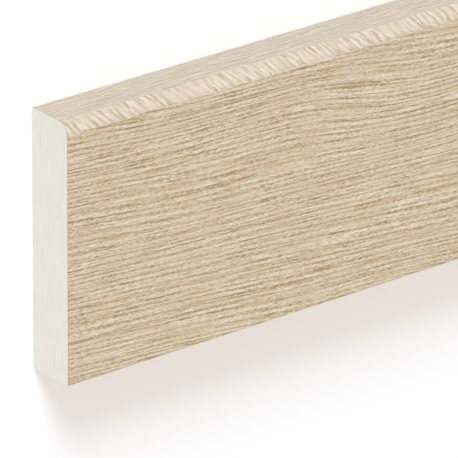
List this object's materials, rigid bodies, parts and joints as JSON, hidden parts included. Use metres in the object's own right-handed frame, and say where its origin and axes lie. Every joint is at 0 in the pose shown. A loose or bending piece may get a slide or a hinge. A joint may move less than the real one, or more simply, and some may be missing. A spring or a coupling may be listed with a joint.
{
  "type": "skirting board",
  "caption": "Straight length of skirting board with a light oak decor face, a small rounding along its front top edge, a flat back and square-cut ends.",
  "frame": {"origin": "middle of the wall face, halfway along the length, where the board lies on the floor", "axes": "+X along the length, +Y towards the rounded edge that is the top of the board on a wall, +Z out of the decor face"},
  "size_m": [2.4, 0.07, 0.014],
  "materials": {
    "oak_decor_board": "matt light oak decor over a pale fibreboard core"
  },
  "bodies": {
    "root": {"skirting_board": "oak_decor_board"}
  },
  "joints": []
}
